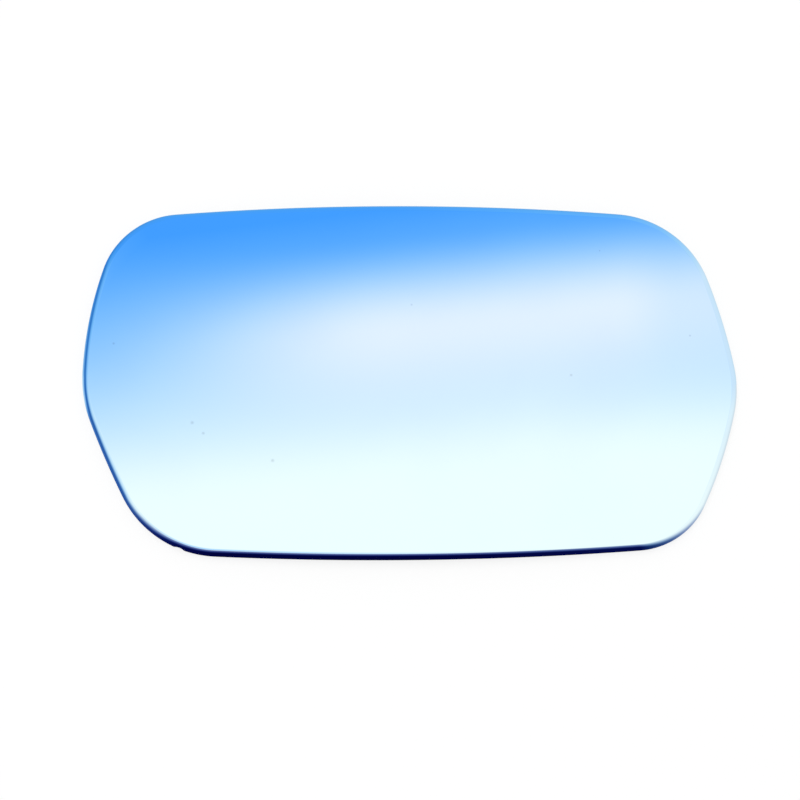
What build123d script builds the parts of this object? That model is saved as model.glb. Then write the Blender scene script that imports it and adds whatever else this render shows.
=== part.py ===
from build123d import *
import os

# Glass of a car's door mirror: one sheet, bent to part of a sphere, with a ground edge.
# Millimetres. The reflecting face looks along +Z and the upper side lies towards +Y.
# The sheet lies on its rim at Z = 0, with the middle of its outline on the Z axis.

# Sheet
glass_thickness = 3.0
face_radius = 1400.0  # sphere of the reflecting face
back_bevel = 0.6  # breaks the arris at the back
edge_land = 0.4  # flat band of the edge, between that bevel and the round from the face

# Outline: the points where neighbouring sides would meet, from the axis of the sphere
right_tip_x = 96.0
right_tip_y = -2.5
top_right_x = 80.5
top_right_y = 49.5
top_left_x = -83.0
top_left_y = 50.5
left_tip_x = -95.5
left_tip_y = -4.0
bottom_left_x = -75.0
bottom_left_y = -50.0
bottom_right_x = 78.0
bottom_right_y = -49.5

# Radius that rounds off each of those points
right_tip_radius = 35.0
top_right_radius = 29.5
top_left_radius = 24.0
left_tip_radius = 37.0
bottom_left_radius = 31.5
bottom_right_radius = 23.5

# Bow of each side, from its chord out to its crown
upper_right_bow = 2.2
top_bow = 3.3
upper_left_bow = 3.4
lower_left_bow = 1.2
bottom_bow = 3.3
lower_right_bow = 2.3

# Chip in the edge at the bottom left corner
chip_length = 3.2
chip_depth = 0.4
chip_bearing = 247.0  # degrees from +X, seen from the centre of the corner's round

# Each corner with its radius and the bow of the side that leaves it, counterclockwise
bottom_left = Vector(bottom_left_x, bottom_left_y)
corners = [
    (Vector(right_tip_x, right_tip_y), right_tip_radius, upper_right_bow),
    (Vector(top_right_x, top_right_y), top_right_radius, top_bow),
    (Vector(top_left_x, top_left_y), top_left_radius, upper_left_bow),
    (Vector(left_tip_x, left_tip_y), left_tip_radius, lower_left_bow),
    (bottom_left, bottom_left_radius, bottom_bow),
    (Vector(bottom_right_x, bottom_right_y), bottom_right_radius, lower_right_bow),
]

back_radius = face_radius - glass_thickness
edge_round = glass_thickness - back_bevel - edge_land
chip_radius = (chip_length**2 / 4 + chip_depth**2) / (2 * chip_depth)

with BuildPart() as mirror_glass:
    # Outline of bowed sides and rounded corners, carried from the centre of the sphere up to its top
    with BuildSketch() as outline:
        with BuildLine():
            for (start, _, bow), (end, _, _) in zip(corners, corners[1:] + corners[:1]):
                SagittaArc(start, end, -bow)
        make_face()
        for corner, radius, _ in corners:
            fillet(outline.vertices().sort_by_distance(corner)[0], radius)
    extrude(amount=face_radius)

    # Both faces of the bent sheet share one centre, so its thickness is the same all over
    pole_to_side = (90, 0, 0)  # keeps the poles and the seam of a sphere off the sheet
    Sphere(face_radius, rotation=pole_to_side, mode=Mode.INTERSECT)
    Sphere(back_radius, rotation=pole_to_side, mode=Mode.SUBTRACT)

    # Ground edge: a bevel at the back, and the rest of the thickness rounded from the face
    back, face = mirror_glass.faces().filter_by(GeomType.SPHERE).sort_by(Axis.Z)
    chamfer(back.edges(), back_bevel)
    fillet(face.edges(), edge_round)

    # Shell-shaped chip in the flat band of the edge
    corner_round = outline.edges().sort_by_distance(bottom_left)[0]
    outward = Vector(1, 0).rotate(Axis.Z, chip_bearing)
    chip_mouth = corner_round.arc_center + outward * bottom_left_radius
    chip_centre = chip_mouth + outward * (chip_radius - chip_depth)
    land_radius = back_radius + back_bevel + edge_land / 2
    chip_height = (land_radius**2 - chip_mouth.length**2) ** 0.5
    with Locations((chip_centre.X, chip_centre.Y, chip_height)):
        Sphere(chip_radius, mode=Mode.SUBTRACT)

# Set the sheet down on its rim
box = mirror_glass.part.bounding_box()
mirror_glass.part.move(Location((-box.center().X, -box.center().Y, -box.min.Z)))
mirror_glass.part.label = "mirror_glass"

os.makedirs("parts", exist_ok=True)
export_step(mirror_glass.part, "parts/mirror_glass.step")
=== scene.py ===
import math

import bpy
import numpy as np
from mathutils import Matrix, Vector


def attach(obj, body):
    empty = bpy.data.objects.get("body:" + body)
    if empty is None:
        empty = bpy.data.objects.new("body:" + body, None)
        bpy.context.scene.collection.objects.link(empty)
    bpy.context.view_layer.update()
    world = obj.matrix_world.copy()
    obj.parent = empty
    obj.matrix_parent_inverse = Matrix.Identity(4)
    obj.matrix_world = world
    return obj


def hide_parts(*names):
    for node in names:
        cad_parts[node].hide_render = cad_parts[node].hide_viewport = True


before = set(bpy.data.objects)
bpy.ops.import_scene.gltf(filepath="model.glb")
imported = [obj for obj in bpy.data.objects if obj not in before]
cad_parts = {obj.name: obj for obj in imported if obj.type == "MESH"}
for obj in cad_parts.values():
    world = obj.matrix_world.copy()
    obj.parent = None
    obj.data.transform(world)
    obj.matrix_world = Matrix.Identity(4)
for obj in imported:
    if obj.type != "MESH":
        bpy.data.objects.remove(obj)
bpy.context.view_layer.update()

# Glass of a car's door mirror, lying face up on a pale floor under a soft blue sky.
# Metres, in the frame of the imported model. A colour is written as six hexadecimal digits.

MM = 0.001
WHITE = "FFFFFF"
BLACK = "000000"

# Sheet
GLASS_THICKNESS = 3.0 * MM
FACE_RADIUS = 1400.0 * MM  # sphere of the reflecting face
BACK_BEVEL = 0.6 * MM  # breaks the arris at the back
EDGE_LAND = 0.4 * MM  # flat band of the edge, between that bevel and the round from the face
BACK_RADIUS = FACE_RADIUS - GLASS_THICKNESS
EDGE_ROUND = GLASS_THICKNESS - BACK_BEVEL - EDGE_LAND

# Outline: each corner's x and y from the axis of the sphere, the radius of its round,
# and the bow of the side that leaves it, counterclockwise from the right tip
CORNERS = np.array([
    (96.0, -2.5, 35.0, 2.2),
    (80.5, 49.5, 29.5, 3.3),
    (-83.0, 50.5, 24.0, 3.4),
    (-95.5, -4.0, 37.0, 1.2),
    (-75.0, -50.0, 31.5, 3.3),
    (78.0, -49.5, 23.5, 2.3),
]) * MM

# Chip in the edge at the bottom left corner
CHIP_CORNER = 4
CHIP_ARC = 2 * CHIP_CORNER  # each corner gives two arcs: its round and the side that leaves it
CHIP_LENGTH = 3.2 * MM
CHIP_DEPTH = 0.4 * MM
CHIP_BEARING = math.radians(247.0)
CHIP_RADIUS = (CHIP_LENGTH**2 / 4 + CHIP_DEPTH**2) / (2 * CHIP_DEPTH)

# Fineness of the mesh: steps along the outline, and rings in each band of the section
OUTLINE_STEP = 1.0 * MM
CHIP_STEP = 0.12 * MM
CHIP_REACH = 0.75 * CHIP_LENGTH  # of the finer steps, to each side
FACE_RINGS = 32
ROUND_RINGS = 16
LAND_RINGS = 3
BEVEL_RINGS = 5
BACK_RINGS = 16

# Materials of the sheet, by their slots
POLISHED, GROUND, PAINTED = range(3)

# Noise in the materials: cells to the metre along x, y and z, detail, and turn of the noise's own grid
FILM_NOISE = ((28, 28, 28), 4.0, 0.0)
WIPE_NOISE = ((90, 2600, 1), 2.0, 0.5)
GRINDING_NOISE = ((400, 400, 9000), 3.0, 0.0)
CLOUD_NOISE = ((35, 35, 35), 5.0, 0.0)
ROLLER_NOISE = ((25, 420, 1), 3.0, 0.0)
PEEL_NOISE = ((900, 900, 900), 2.0, 0.0)

# Face: what it gives back of red, green and blue, bare and under a faint film of grease,
# its roughness when bare, what film, wipe marks and dust add to that, and the noise where those show
GLASS_TINT = (0.84, 0.93, 0.95, 1.0)
FILM_TINT = (0.825, 0.915, 0.94, 1.0)
FACE_ROUGHNESS = 0.012
FILM_ROUGHNESS = 0.012
WIPE_ROUGHNESS = 0.01
DUST_ROUGHNESS = 0.08
FILM_RANGE = (0.45, 0.75)
WIPE_RANGE = (0.62, 0.75)

# Specks of dust on the face: x and y from the middle of the outline, and radius
SPECKS = np.array([
    (-86.3, 11.7, 0.6),
    (-63.6, -12.5, 0.8),
    (-60.4, -15.7, 0.7),
    (-40.5, -24.1, 0.8),
    (46.5, 0.8, 0.6),
    (82.0, 13.0, 0.5),
    (0.4, 22.2, 0.4),
    (56.2, 38.9, 0.4),
]) * MM
DUST_COLOUR = "B4BCC0"
DUST_COVER = 0.45

# Ground bevel: its colours, its roughness over a range of the noise, and its bump
GROUND_DARK = "A9BBC2"
GROUND_PALE = "C6D5DA"
GROUND_RANGE = (0.3, 0.7)
GROUND_ROUGHNESS = (0.35, 0.55)
GROUND_BUMP = 0.15
GROUND_DEPTH = 0.02 * MM

# Paint of the back: its colours and its roughness over ranges of the noise, and its bump
PAINT_DARK = "6B7277"
PAINT_PALE = "7D8489"
PAINT_STREAKS = 0.45  # share of the roller's streaks in that noise, beside clouds
PAINT_COLOUR_RANGE = (0.35, 0.65)
PAINT_RANGE = (0.3, 0.7)
PAINT_ROUGHNESS = (0.38, 0.52)
PAINT_BUMP = 0.25
PAINT_DEPTH = 0.05 * MM

# Sky by the x, y and z of a direction, in shares of its pale colour from 0 to 1.
# The part that the face mirrors to the camera is held within a long round form: its middle,
# half the length between the centres of its ends, and their radius
VIEW_MIDDLE = (0.05, 0.259, 0.0)
VIEW_STRAIGHT = 0.1
VIEW_RADIUS = 0.125

# From pale to blue over y, with a soft knee at the pale end, and the tilt of that change over x,
# which ends at a given x
PALE_AT = 0.202
BLUE_AT = 0.372
PALE_KNEE = 0.2
SKY_TILT = 0.11
SKY_TILT_TO = 0.135

# Haze along a bent line across it: where it lies for an x of 0, its slope, bend and reach,
# the x where it starts, is full and fades to the right, its own share of the pale colour, and its tint
HAZE_AT = 0.287
HAZE_SLOPE = 0.08
HAZE_BEND = 0.085
HAZE_ABOVE = 0.068
HAZE_BELOW = 0.095
HAZE_START = -0.188
HAZE_FULL = 0.04
HAZE_FADE_START = 0.19
HAZE_FADE_END = 0.236
HAZE_FADE = 0.815
HAZE_PALE = 0.925
HAZE_TINT = (1.0, 0.93, 1.0, 1.0)

# To the front and left the sky is bluer: by y and by x from where to where, and how much
FRONT_FROM = 0.13
FRONT_FULL = -0.35
FRONT_RIGHT = 0.2
FRONT_LEFT = -0.18
FRONT_BLUE = 0.55

# Lower down, by z, the sky turns blue all round, and then pale at the horizon
RING_FROM = 0.93
RING_FULL = 0.7
HORIZON_FROM = 0.75

# Colours of the sky, which are mixed as their roots by SKY_GAMMA, and the even light on all that is matt
SKY_BLUE = "459DFD"
SKY_PALE = "F7FFFE"
SKY_RING = "68ADF9"
SKY_GAMMA = 2.2
SKY_STRENGTH = 1.09
FILL_STRENGTH = 0.8

# Glowing cards that stand low around the glass, seen only in its reflections: they paint the light and the
# dark that its polished edge mirrors. Where they start on the floor and where they stand, from the edge
# outwards, and how far they stay off the floor
CARD_START = -0.3 * MM
CARD_GAP = 0.3 * MM
CARD_LIFT = 0.02 * MM

# They change from their lower to their upper colours over a range of angles. CARD_REACH times the tangent
# of an angle, less CARD_DROP, is about the height above the rim of the face where the edge mirrors it.
# The change has steps at these shares of the upper colour. It ends at CARD_TOP, and above that the cards fade
CARD_REACH = 1.7 * MM
CARD_DROP = 0.75 * MM
CARD_SHARES = (0.0, 0.5, 0.8, 0.95)
CARD_TOP = 3.6 * MM
CARD_FADE = 1.2 * MM

# By the bearing of the edge, in turns from +X counterclockwise: where the change starts and ends, in degrees,
# and the colours below and above it, which the edge mirrors as painted reflections, darkest towards -Y
CARD_ANGLES = np.array([
    (0.0, -20, 30),
    (0.25, -10, 50),
    (0.42, 0, 65),
    (0.50, 34, 70),
    (0.54, 24, 66),
    (0.58, 1, 66),
    (0.64, -6, 98),
    (0.68, 12, 105),
    (0.75, 18, 102),
    (0.80, -6, 90),
    (0.90, -22, 50),
    (1.0, -20, 30),
])
CARD_LOWER = [
    (0.08, "CCE0F0"),
    (0.25, "60A8E8"),
    (0.42, "3888D8"),
    (0.54, "2860B0"),
    (0.60, "305094"),
    (0.68, "030A48"),
    (0.75, "010338"),
    (0.78, "102860"),
    (0.86, "8090B8"),
    (0.93, "D8E0E8"),
]
CARD_UPPER = [
    (0.06, "D4E8FC"),
    (0.17, "80C0FC"),
    (0.24, "68B4FC"),
    (0.25, "48A0FC"),
    (0.40, "449CF8"),
    (0.50, "A0D0FC"),
    (0.60, "F8FFFF"),
    (0.93, "F8FFFF"),
    (1.0, "D4E8FC"),
]
CARD_GAMMA = 8.8
CARD_STRENGTH = 1.05

# The lowest part of the cards is lighter at the left end, a pale line that the edge there mirrors: its
# colour, the v over which that fades, and a ramp that is white where it shows
CARD_FOOT = "B0D4F4"
CARD_FOOT_FADE = (-0.5, -0.05)
CARD_FOOT_AT = [
    (0.44, BLACK),
    (0.50, WHITE),
    (0.53, WHITE),
    (0.57, BLACK),
]

# Floor and lamp
FLOOR_HALF = 10.0
FLOOR_COLOUR = "FAFAFA"
FLOOR_SHADOW = 0.2  # share of the floor's own shading that is seen
LAMP_PLACE = (-0.25, 0.35, 1.5)
LAMP_SIZE = 1.2
LAMP_POWER = 8.0

# Camera: distance from the middle of the face, lean from straight above towards the lower side,
# turn towards the left end, roll, what a pixel measures on the face, and how many pixels
# to the right of the picture's centre and above it the middle of the face lies
IMAGE_SIZE = 800
CAMERA_DISTANCE = 1.0
CAMERA_LEAN = math.radians(15.0)
CAMERA_TURN = math.radians(3.0)
CAMERA_ROLL = math.radians(-1.14)
PIXEL_ON_FACE = 0.29 * MM
PICTURE_RIGHT = 11.6
PICTURE_UP = 21.5


# Colours and nodes

def linear(colour):
    """Linear red, green and blue of a colour, by the formula of the sRGB standard."""
    levels = [int(colour[i:i + 2], 16) / 255 for i in (0, 2, 4)]
    return [c / 12.92 if c <= 0.04045 else ((c + 0.055) / 1.055) ** 2.4 for c in levels]


def rgba(colour, gamma=1.0):
    """The colour for a node, linear, or for a mix that a Gamma node with this value makes linear."""
    return (*(channel ** (1 / gamma) for channel in linear(colour)), 1.0)


def add_node(tree, kind, inputs=None, **settings):
    """A new node. inputs maps a socket's name or number to a value or to another node's output."""
    node = tree.nodes.new(kind)
    for name, value in settings.items():
        setattr(node, name, value)
    for socket, value in (inputs or {}).items():
        if isinstance(value, bpy.types.NodeSocket):
            tree.links.new(value, node.inputs[socket])
        else:
            node.inputs[socket].default_value = value
    return node


def math_node(tree, operation, first, second=0.0, third=0.0):
    inputs = {0: first, 1: second, 2: third}
    return add_node(tree, "ShaderNodeMath", inputs, operation=operation).outputs[0]


def vector_node(tree, operation, first, second):
    return add_node(tree, "ShaderNodeVectorMath", {0: first, 1: second}, operation=operation).outputs[0]


def mix_value(tree, factor, first, second):
    """Sockets 2 and 3 of a Mix node are its two numbers."""
    return add_node(tree, "ShaderNodeMix", {0: factor, 2: first, 3: second}).outputs[0]


def mix_colour(tree, factor, first, second, blend="MIX"):
    """Sockets 6 and 7 of a Mix node are its two colours, and output 2 is the colour."""
    inputs = {0: factor, 6: first, 7: second}
    return add_node(tree, "ShaderNodeMix", inputs, data_type="RGBA", blend_type=blend).outputs[2]


def map_range(tree, value, start, end, low=0.0, high=1.0):
    """Goes smoothly from low to high while the value goes from start to end."""
    inputs = {0: value, 1: start, 2: end, 3: low, 4: high}
    return add_node(tree, "ShaderNodeMapRange", inputs, interpolation_type="SMOOTHSTEP").outputs[0]


def mix_shader(tree, factor, first, second):
    return add_node(tree, "ShaderNodeMixShader", {0: factor, 1: first.outputs[0], 2: second.outputs[0]})


def colour_ramp(tree, value, stops, gamma=1.0):
    """A colour for a value from 0 to 1. stops are pairs of a position and a colour."""
    node = add_node(tree, "ShaderNodeValToRGB", {0: value})
    elements = node.color_ramp.elements
    while len(elements) < len(stops):
        elements.new(0.5)
    for element, (position, colour) in zip(elements, stops):
        element.position = position
        element.color = rgba(colour, gamma)
    return node.outputs[0]


def noise(tree, cells, detail, turn):
    """Noise over the object, mostly between 0.3 and 0.7."""
    position = add_node(tree, "ShaderNodeTexCoord").outputs["Object"]
    inputs = {"Vector": position, "Rotation": (0.0, 0.0, turn), "Scale": cells}
    place = add_node(tree, "ShaderNodeMapping", inputs).outputs[0]
    inputs = {"Vector": place, "Scale": 1.0, "Detail": detail}
    return add_node(tree, "ShaderNodeTexNoise", inputs).outputs[0]


def new_material(name):
    material = bpy.data.materials.new(name)
    material.use_nodes = True
    material.node_tree.nodes.clear()
    return material, material.node_tree


def set_surface(tree, shader):
    add_node(tree, "ShaderNodeOutputMaterial", {0: shader.outputs[0]})


# Outline of the sheet

def side_circle(start, end, bow):
    """Centre and radius of the arc that bows outwards from the chord between two corners."""
    chord = end - start
    length = np.hypot(*chord)
    radius = (length**2 / 4 + bow**2) / (2 * bow)
    outward = np.array([chord[1], -chord[0]]) / length
    return (start + end) / 2 + outward * (bow - radius), radius


def corner_centre(corner, before, after, radius):
    """Centre of the round that touches the arcs of both sides from within."""
    gap = after[0] - before[0]
    length = np.hypot(*gap)
    along = gap / length
    across = np.array([-along[1], along[0]])
    reach = before[1] - radius
    forward = (reach**2 - (after[1] - radius)**2 + length**2) / (2 * length)
    aside = math.sqrt(reach**2 - forward**2)
    foot = before[0] + along * forward
    return min(foot + across * aside, foot - across * aside, key=lambda point: np.hypot(*(point - corner)))


def bearing(vector):
    return math.atan2(vector[1], vector[0])


def outline_arcs():
    """Arcs of the outline, counterclockwise: centre, radius, and the bearings of its start and end."""
    points = CORNERS[:, :2]
    ends = np.roll(points, -1, axis=0)
    sides = [side_circle(a, b, bow) for a, b, bow in zip(points, ends, CORNERS[:, 3])]
    rounds = [corner_centre(points[i], sides[i - 1], sides[i], CORNERS[i, 2]) for i in range(len(points))]
    starts = [bearing(rounds[i] - sides[i - 1][0]) for i in range(len(points))]
    stops = [bearing(rounds[i] - sides[i][0]) for i in range(len(points))]
    arcs = []
    for i, centre in enumerate(rounds):
        arcs.append((centre, CORNERS[i, 2], starts[i], stops[i]))
        arcs.append((*sides[i], stops[i], starts[(i + 1) % len(points)]))
    return arcs


def outline_points(arcs):
    """Points of the outline and the outward direction at each, closer together beside the chip."""
    edge, outward = [], []
    for i, (centre, radius, start, end) in enumerate(arcs):
        span = (end - start) % math.tau
        zones = [(0.0, span, OUTLINE_STEP)]
        if i == CHIP_ARC:
            chip = (CHIP_BEARING - start) % math.tau
            reach = CHIP_REACH / radius
            zones = [
                (0.0, chip - reach, OUTLINE_STEP),
                (chip - reach, chip + reach, CHIP_STEP),
                (chip + reach, span, OUTLINE_STEP),
            ]
        for low, high, step in zones:
            count = math.ceil((high - low) * radius / step)
            angles = start + np.linspace(low, high, count, endpoint=False)
            direction = np.column_stack([np.cos(angles), np.sin(angles)])
            edge.append(centre + radius * direction)
            outward.append(direction)
    return np.concatenate(edge), np.concatenate(outward)


# Sheet

def on_sphere(flat, radius):
    """Points above the given flat ones, on the sphere about the origin."""
    return np.column_stack([flat, np.sqrt(radius**2 - (flat**2).sum(axis=1))])


def sheet_rings(edge, outward):
    """Rings from the middle of the face over the edge to the middle of the back.

    A ring is its points, the normals of the band before it and those of the band after it.
    """
    rings = []

    def smooth_ring(points, normals):
        rings.append((points, normals, normals))

    # Face, out to where the ball that rolls along the edge touches it
    ball = on_sphere(edge - EDGE_ROUND * outward, FACE_RADIUS - EDGE_ROUND)
    first = ball / np.linalg.norm(ball, axis=1)[:, None]
    for share in np.linspace(0, 1, FACE_RINGS + 1)[1:]:
        points = on_sphere(share * FACE_RADIUS * first[:, :2], FACE_RADIUS)
        smooth_ring(points, points / FACE_RADIUS)

    # Round, from the normal of the face to the normal of the wall
    last = np.column_stack([outward, np.zeros(len(outward))])
    turn = np.arccos((first * last).sum(axis=1))[:, None]
    for share in np.linspace(0, 1, ROUND_RINGS + 1)[1:]:
        normals = (np.sin((1 - share) * turn) * first + np.sin(share * turn) * last) / np.sin(turn)
        smooth_ring(ball + EDGE_ROUND * normals, normals)

    # Flat land, down to the bevel
    land_foot = on_sphere(edge, BACK_RADIUS)
    land_foot[:, 2] += BACK_BEVEL
    land_top = ball + EDGE_ROUND * last
    for share in np.linspace(0, 1, LAND_RINGS + 1)[1:]:
        smooth_ring(land_top + share * (land_foot - land_top), last)

    # Bevel, with an arris above and below it
    bevel_foot = on_sphere(edge - BACK_BEVEL * outward, BACK_RADIUS)
    drop = (land_foot - bevel_foot)[:, 2:]
    slant = np.column_stack([outward * drop, np.full(len(edge), -BACK_BEVEL)])
    slant /= np.linalg.norm(slant, axis=1)[:, None]
    rings[-1] = (land_foot, last, slant)
    for share in np.linspace(0, 1, BEVEL_RINGS + 1)[1:]:
        smooth_ring(land_foot + share * (bevel_foot - land_foot), slant)
    rings[-1] = (bevel_foot, slant, -bevel_foot / BACK_RADIUS)

    # Back
    for share in np.linspace(1, 0, BACK_RINGS + 1)[1:-1]:
        points = on_sphere(share * bevel_foot[:, :2], BACK_RADIUS)
        smooth_ring(points, -points / BACK_RADIUS)
    return rings


def cut_chip(rings, arcs, outward):
    """Moves what lies within the chip's sphere inwards, onto it."""
    centre, radius, _, _ = arcs[CHIP_ARC]
    direction = np.array([math.cos(CHIP_BEARING), math.sin(CHIP_BEARING)])
    mouth = on_sphere((centre + radius * direction)[None], BACK_RADIUS + BACK_BEVEL + EDGE_LAND / 2)[0]
    hollow = mouth + np.array([*direction, 0.0]) * (CHIP_RADIUS - CHIP_DEPTH)
    wall = np.column_stack([outward, np.zeros(len(outward))])
    for k, (points, before, after) in enumerate(rings):
        apart = points - hollow
        inside = np.linalg.norm(apart, axis=1) < CHIP_RADIUS
        if not inside.any():
            continue
        points, before, after = points.copy(), before.copy(), after.copy()
        apart, along = apart[inside], wall[inside]
        level = (apart * along).sum(axis=1)
        depth = level + np.sqrt(level**2 - (apart**2).sum(axis=1) + CHIP_RADIUS**2)
        points[inside] -= depth[:, None] * along
        before[inside] = after[inside] = (hollow - points[inside]) / CHIP_RADIUS
        rings[k] = (points, before, after)


def find_sphere_centre(rings):
    """Where the centre of the sphere lies, with the sheet centred in x and y and down on z = 0."""
    points = np.concatenate([ring[0] for ring in rings])
    low, high = points.min(axis=0), points.max(axis=0)
    return -np.array([(low[0] + high[0]) / 2, (low[1] + high[1]) / 2, low[2]])


def add_mesh(name, points, faces):
    mesh = bpy.data.meshes.new(name)
    mesh.from_pydata(points.tolist(), [], faces)
    piece = bpy.data.objects.new(name, mesh)
    bpy.context.scene.collection.objects.link(piece)
    return piece


def make_sheet(name, rings, sphere_centre, materials):
    """The bent sheet: face and polished edge, then the bevel, then the painted back, one material each."""
    count = len(rings[0][0])

    # The middles of the face and of the back come after the rings
    tops = np.array([(0, 0, FACE_RADIUS), (0, 0, BACK_RADIUS)])
    points = np.concatenate([ring[0] for ring in rings] + [tops]) + sphere_centre
    face_middle = len(rings) * count
    back_middle = face_middle + 1

    faces, normals = [], []
    up = np.array([0.0, 0.0, 1.0])
    for j in range(count):
        k = (j + 1) % count
        faces.append((face_middle, j, k))
        normals += [up, rings[0][1][j], rings[0][1][k]]
        for i in range(len(rings) - 1):
            above, below = i * count, (i + 1) * count
            faces.append((above + j, below + j, below + k, above + k))
            upper, lower = rings[i][2], rings[i + 1][1]
            normals += [upper[j], lower[j], lower[k], upper[k]]
        above = (len(rings) - 1) * count
        faces.append((above + j, back_middle, above + k))
        normals += [rings[-1][2][j], -up, rings[-1][2][k]]

    # From the middle of the face to the middle of the back, the same all the way round
    bands = [POLISHED] * (FACE_RINGS + ROUND_RINGS + LAND_RINGS)
    bands += [GROUND] * BEVEL_RINGS
    bands += [PAINTED] * BACK_RINGS

    sheet = add_mesh(name, points, faces)
    mesh = sheet.data
    for material in materials:
        mesh.materials.append(material)
    mesh.polygons.foreach_set("material_index", bands * count)
    mesh.shade_smooth()
    mesh.normals_split_custom_set(np.array(normals).tolist())
    return sheet


# Materials of the sheet

def speck_mask(tree):
    """1 in the middle of each speck of dust, and 0 from its rim on."""
    position = add_node(tree, "ShaderNodeTexCoord").outputs["Object"]
    flat = vector_node(tree, "MULTIPLY", position, (1.0, 1.0, 0.0))
    mask = 0.0
    for x, y, radius in SPECKS:
        away = add_node(tree, "ShaderNodeVectorMath", {0: flat, 1: (x, y, 0.0)}, operation="DISTANCE")
        speck = map_range(tree, away.outputs["Value"], 0.0, radius, 1.0, 0.0)
        mask = math_node(tree, "MAXIMUM", mask, speck)
    return mask


def silvered_glass():
    """Bright coating with the faintest film of grease on it, fine wipe marks and a few specks of dust."""
    material, tree = new_material("silvered_glass")
    film = map_range(tree, noise(tree, *FILM_NOISE), *FILM_RANGE)
    wipe = map_range(tree, noise(tree, *WIPE_NOISE), *WIPE_RANGE)
    dust = speck_mask(tree)
    colour = mix_colour(tree, film, GLASS_TINT, FILM_TINT)
    colour = mix_colour(tree, math_node(tree, "MULTIPLY", dust, DUST_COVER), colour, rgba(DUST_COLOUR))
    roughness = math_node(tree, "MULTIPLY_ADD", film, FILM_ROUGHNESS, FACE_ROUGHNESS)
    roughness = math_node(tree, "MULTIPLY_ADD", wipe, WIPE_ROUGHNESS, roughness)
    roughness = math_node(tree, "MULTIPLY_ADD", dust, DUST_ROUGHNESS, roughness)
    inputs = {"Base Color": colour, "Metallic": 1.0, "Roughness": roughness}
    set_surface(tree, add_node(tree, "ShaderNodeBsdfPrincipled", inputs))
    return material


def ground_glass():
    """Fine-ground edge: pale, a little green and frosted, with marks along the way of the wheel."""
    material, tree = new_material("ground_glass")
    marks = noise(tree, *GRINDING_NOISE)
    colour = mix_colour(tree, marks, rgba(GROUND_DARK), rgba(GROUND_PALE))
    roughness = map_range(tree, marks, *GROUND_RANGE, *GROUND_ROUGHNESS)
    inputs = {"Strength": GROUND_BUMP, "Distance": GROUND_DEPTH, "Height": marks}
    bump = add_node(tree, "ShaderNodeBump", inputs).outputs[0]
    inputs = {"Base Color": colour, "Roughness": roughness, "Normal": bump}
    set_surface(tree, add_node(tree, "ShaderNodeBsdfPrincipled", inputs))
    return material


def back_paint():
    """Grey paint that keeps the coating from the weather: satin, rolled on, a little uneven."""
    material, tree = new_material("back_paint")
    uneven = mix_value(tree, PAINT_STREAKS, noise(tree, *CLOUD_NOISE), noise(tree, *ROLLER_NOISE))
    shade = map_range(tree, uneven, *PAINT_COLOUR_RANGE)
    colour = mix_colour(tree, shade, rgba(PAINT_DARK), rgba(PAINT_PALE))
    roughness = map_range(tree, uneven, *PAINT_RANGE, *PAINT_ROUGHNESS)
    inputs = {"Strength": PAINT_BUMP, "Distance": PAINT_DEPTH, "Height": noise(tree, *PEEL_NOISE)}
    bump = add_node(tree, "ShaderNodeBump", inputs).outputs[0]
    inputs = {"Base Color": colour, "Roughness": roughness, "Normal": bump}
    set_surface(tree, add_node(tree, "ShaderNodeBsdfPrincipled", inputs))
    return material


# Surroundings

def spread_view(tree, direction):
    """The direction's x and y, held at the rim of the view beyond it, so that the sky goes on evenly."""
    off = vector_node(tree, "SUBTRACT", direction, VIEW_MIDDLE)
    inner = vector_node(tree, "MAXIMUM", off, (-VIEW_STRAIGHT, 0.0, 0.0))
    inner = vector_node(tree, "MINIMUM", inner, (VIEW_STRAIGHT, 0.0, 0.0))
    inner = vector_node(tree, "MULTIPLY", inner, (1.0, 0.0, 0.0))
    rest = vector_node(tree, "MULTIPLY", vector_node(tree, "SUBTRACT", off, inner), (1.0, 1.0, 0.0))
    length = add_node(tree, "ShaderNodeVectorMath", {0: rest}, operation="LENGTH").outputs["Value"]
    share = math_node(tree, "DIVIDE", VIEW_RADIUS, math_node(tree, "MAXIMUM", length, VIEW_RADIUS))
    rest = add_node(tree, "ShaderNodeVectorMath", {0: rest, "Scale": share}, operation="SCALE").outputs[0]
    held = vector_node(tree, "ADD", vector_node(tree, "ADD", inner, rest), VIEW_MIDDLE)
    sides = add_node(tree, "ShaderNodeSeparateXYZ", {0: held})
    return sides.outputs[0], sides.outputs[1]


def haze_share(tree, x, y):
    """How much of the haze a direction shows."""
    line = math_node(tree, "MULTIPLY_ADD", x, HAZE_BEND, HAZE_SLOPE)
    line = math_node(tree, "MULTIPLY_ADD", x, line, HAZE_AT)
    off = math_node(tree, "SUBTRACT", y, line)
    above = map_range(tree, off, 0.0, HAZE_ABOVE, 1.0, 0.0)
    below = map_range(tree, off, -HAZE_BELOW, 0.0)
    along = map_range(tree, x, HAZE_START, HAZE_FULL)
    fade = map_range(tree, x, HAZE_FADE_START, HAZE_FADE_END, 1.0, HAZE_FADE)
    across = math_node(tree, "MULTIPLY", above, below)
    return math_node(tree, "MULTIPLY", across, math_node(tree, "MULTIPLY", along, fade))


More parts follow.
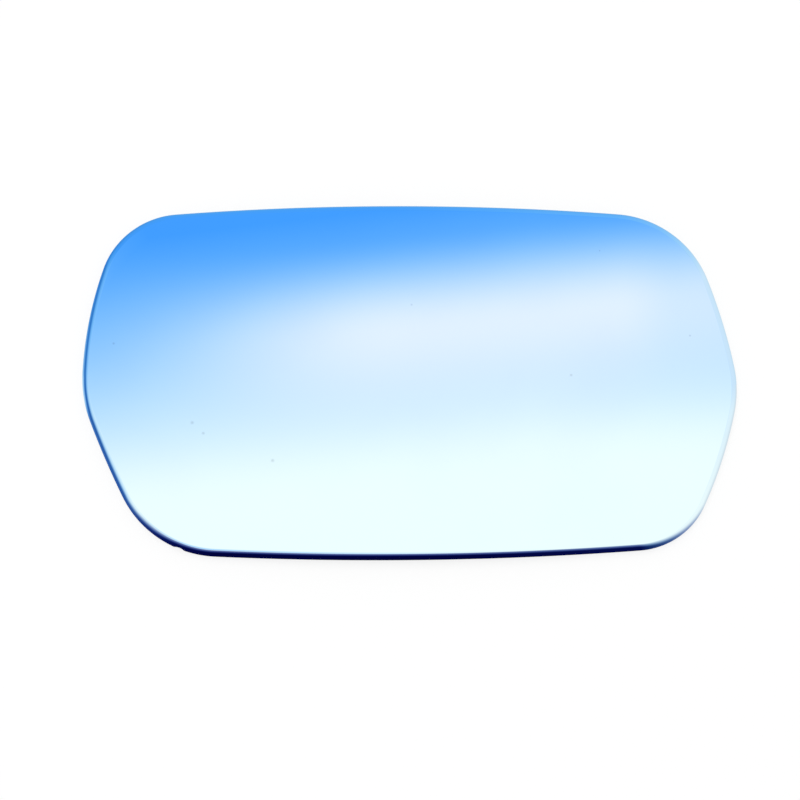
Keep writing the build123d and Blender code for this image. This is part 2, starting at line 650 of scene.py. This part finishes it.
def sky_colour(tree):
    """What the glass mirrors: a sky from pale to blue with haze across it, pale again at the horizon."""
    direction = add_node(tree, "ShaderNodeTexCoord").outputs["Generated"]
    x, y = spread_view(tree, direction)
    tilted = math_node(tree, "MULTIPLY_ADD", math_node(tree, "MINIMUM", x, SKY_TILT_TO), -SKY_TILT, y)
    pale = math_node(tree, "DIVIDE", math_node(tree, "SUBTRACT", BLUE_AT, tilted), BLUE_AT - PALE_AT)
    pale = math_node(tree, "SMOOTH_MIN", math_node(tree, "MAXIMUM", pale, 0.0), 1.0, PALE_KNEE)
    haze = haze_share(tree, x, y)
    pale = mix_value(tree, haze, pale, HAZE_PALE)

    sides = add_node(tree, "ShaderNodeSeparateXYZ", {0: direction})
    front = map_range(tree, sides.outputs[1], FRONT_FULL, FRONT_FROM, FRONT_BLUE, 0.0)
    left = map_range(tree, sides.outputs[0], FRONT_LEFT, FRONT_RIGHT, 1.0, 0.0)
    pale = mix_value(tree, math_node(tree, "MULTIPLY", front, left), pale, 0.0)
    ring = map_range(tree, sides.outputs[2], RING_FULL, RING_FROM, 1.0, 0.0)
    horizon = map_range(tree, sides.outputs[2], 0.0, HORIZON_FROM, 1.0, 0.0)

    # The colours are mixed much as the screen shows them, and then made linear
    colour = mix_colour(tree, pale, rgba(SKY_BLUE, SKY_GAMMA), rgba(SKY_PALE, SKY_GAMMA))
    colour = mix_colour(tree, ring, colour, rgba(SKY_RING, SKY_GAMMA))
    colour = mix_colour(tree, horizon, colour, rgba(SKY_PALE, SKY_GAMMA))
    colour = add_node(tree, "ShaderNodeGamma", {0: colour, 1: SKY_GAMMA}).outputs[0]
    return mix_colour(tree, haze, colour, HAZE_TINT, "MULTIPLY")


def make_world():
    """White to the camera, the sky to what mirrors it, and even neutral light to everything else."""
    world = bpy.data.worlds.new("studio")
    world.use_nodes = True
    tree = world.node_tree
    tree.nodes.clear()
    path = add_node(tree, "ShaderNodeLightPath")
    sky = add_node(tree, "ShaderNodeBackground", {0: sky_colour(tree), 1: SKY_STRENGTH})
    fill = add_node(tree, "ShaderNodeBackground", {0: rgba(WHITE), 1: FILL_STRENGTH})
    white = add_node(tree, "ShaderNodeBackground", {0: rgba(WHITE), 1: 1.0})
    lit = mix_shader(tree, path.outputs["Is Glossy Ray"], fill, sky)
    seen = mix_shader(tree, path.outputs["Is Camera Ray"], lit, white)
    add_node(tree, "ShaderNodeOutputWorld", {0: seen.outputs[0]})
    bpy.context.scene.world = world


def card_material():
    """Light of the cards. u is the bearing of the edge. v is the share of the upper colour from 0 to 1.

    From -1 to 0 it goes up from the floor, and from 1 to 2 the cards fade.
    """
    material, tree = new_material("edge_cards")
    place = add_node(tree, "ShaderNodeSeparateXYZ", {0: add_node(tree, "ShaderNodeTexCoord").outputs["UV"]})
    turn, share = place.outputs[0], place.outputs[1]
    foot = map_range(tree, share, *CARD_FOOT_FADE, 1.0, 0.0)
    foot = math_node(tree, "MULTIPLY", foot, colour_ramp(tree, turn, CARD_FOOT_AT))
    lower = colour_ramp(tree, turn, CARD_LOWER, CARD_GAMMA)
    lower = mix_colour(tree, foot, lower, rgba(CARD_FOOT, CARD_GAMMA))
    upper = colour_ramp(tree, turn, CARD_UPPER, CARD_GAMMA)
    colour = mix_colour(tree, share, lower, upper)
    colour = add_node(tree, "ShaderNodeGamma", {0: colour, 1: CARD_GAMMA}).outputs[0]
    light = add_node(tree, "ShaderNodeEmission", {0: colour, 1: CARD_STRENGTH})
    clear = add_node(tree, "ShaderNodeBsdfTransparent")
    set_surface(tree, mix_shader(tree, map_range(tree, share, 1.0, 2.0), light, clear))
    material.cycles.emission_sampling = "NONE"
    return material


def card_rings(edge, outward, turns, sphere_centre):
    """Rings of points from under the edge along the floor and up the cards, each with its v."""
    rim = on_sphere(edge, FACE_RADIUS) + sphere_centre
    wall = np.column_stack([outward, np.zeros(len(outward))])
    start = np.radians(np.interp(turns, CARD_ANGLES[:, 0], CARD_ANGLES[:, 1]))
    end = np.radians(np.interp(turns, CARD_ANGLES[:, 0], CARD_ANGLES[:, 2]))

    # Each ring's v, its distance out from the edge and its height.
    # The share of the upper colour follows a sine over the range of angles
    steps = [(-1.0, CARD_START, CARD_LIFT), (-1.0, CARD_GAP, CARD_LIFT)]
    for share in CARD_SHARES:
        angle = start + (end - start) * math.asin(share) / math.asin(1.0)
        above = np.minimum(CARD_REACH * np.tan(angle) - CARD_DROP, CARD_TOP)
        steps.append((share, CARD_GAP, rim[:, 2] + above))
    top = rim[:, 2] + CARD_TOP
    steps.append((1.0, CARD_GAP, top + CARD_LIFT))
    steps.append((2.0, CARD_GAP, top + CARD_FADE))

    rings = []
    for share, out, height in steps:
        points = rim + out * wall
        points[:, 2] = height
        rings.append((share, points))
    return rings


def make_cards(edge, outward, sphere_centre):
    """Low glowing cards around the glass, which its polished edge mirrors and nothing else sees: they paint
    the light and dark of its reflections.
    """
    turns = (np.arctan2(outward[:, 1], outward[:, 0]) / math.tau) % 1.0
    rings = card_rings(edge, outward, turns, sphere_centre)
    count = len(edge)
    faces, places = [], []
    for j in range(count):
        k = (j + 1) % count
        next_turn = turns[k] if turns[k] >= turns[j] else turns[k] + 1.0
        for i in range(len(rings) - 1):
            low, high = i * count, (i + 1) * count
            faces.append((low + j, low + k, high + k, high + j))
            places += [(turns[j], rings[i][0]), (next_turn, rings[i][0])]
            places += [(next_turn, rings[i + 1][0]), (turns[j], rings[i + 1][0])]
    cards = add_mesh("edge_cards", np.concatenate([points for _, points in rings]), faces)
    cards.data.uv_layers.new(name="turn_share").data.foreach_set("uv", np.ravel(places))
    cards.data.materials.append(card_material())
    cards.visible_camera = False
    cards.visible_diffuse = False
    cards.visible_transmission = False
    cards.visible_shadow = False


def make_floor():
    """Pale floor with a faint shadow."""
    material, tree = new_material("pale_floor")
    paint = add_node(tree, "ShaderNodeBsdfDiffuse", {0: rgba(FLOOR_COLOUR)})
    white = add_node(tree, "ShaderNodeEmission", {0: rgba(WHITE), 1: 1.0})
    path = add_node(tree, "ShaderNodeLightPath")
    seen = math_node(tree, "MAXIMUM", path.outputs["Is Camera Ray"], path.outputs["Is Glossy Ray"])
    set_surface(tree, mix_shader(tree, math_node(tree, "MULTIPLY", seen, 1.0 - FLOOR_SHADOW), paint, white))
    corners = np.array([(-1, -1, 0), (1, -1, 0), (1, 1, 0), (-1, 1, 0)]) * FLOOR_HALF
    floor = add_mesh("floor", corners, [(0, 1, 2, 3)])
    floor.data.materials.append(material)


def make_lamp():
    """One large soft lamp above, aimed at the origin, which the glass doesn't mirror."""
    lamp = bpy.data.lights.new("softbox", "AREA")
    lamp.shape = "DISK"
    lamp.size = LAMP_SIZE
    lamp.energy = LAMP_POWER
    softbox = bpy.data.objects.new("softbox", lamp)
    softbox.location = LAMP_PLACE
    softbox.rotation_euler = (-Vector(LAMP_PLACE)).to_track_quat("-Z", "Y").to_euler()
    softbox.visible_glossy = False
    bpy.context.scene.collection.objects.link(softbox)


def make_camera(middle):
    """Camera that looks at the middle of the face from above, a little from the lower side and the left."""
    away = Vector((
        -math.sin(CAMERA_TURN) * math.cos(CAMERA_LEAN),
        -math.sin(CAMERA_LEAN),
        math.cos(CAMERA_TURN) * math.cos(CAMERA_LEAN),
    ))
    right = Vector((0, 1, 0)).cross(away).normalized()
    up = away.cross(right)
    turned = Matrix((right, up, away)).transposed() @ Matrix.Rotation(CAMERA_ROLL, 3, "Z")
    data = bpy.data.cameras.new("camera")
    data.lens = CAMERA_DISTANCE / PIXEL_ON_FACE / IMAGE_SIZE * data.sensor_width
    data.shift_x = -PICTURE_RIGHT / IMAGE_SIZE
    data.shift_y = -PICTURE_UP / IMAGE_SIZE
    camera = bpy.data.objects.new("camera", data)
    camera.matrix_world = Matrix.Translation(middle + CAMERA_DISTANCE * away) @ turned.to_4x4()
    bpy.context.scene.collection.objects.link(camera)
    bpy.context.scene.camera = camera


# The sheet in its surroundings

arcs = outline_arcs()
edge, outward = outline_points(arcs)
rings = sheet_rings(edge, outward)
cut_chip(rings, arcs, outward)
sphere_centre = find_sphere_centre(rings)
sheet = make_sheet("mirror_sheet", rings, sphere_centre, [silvered_glass(), ground_glass(), back_paint()])
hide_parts("mirror_glass")
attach(sheet, "root")

make_world()
make_floor()
make_cards(edge, outward, sphere_centre)
make_lamp()
make_camera(Vector(sphere_centre) + Vector((0.0, 0.0, FACE_RADIUS)))
bpy.context.scene.view_settings.view_transform = "Standard"
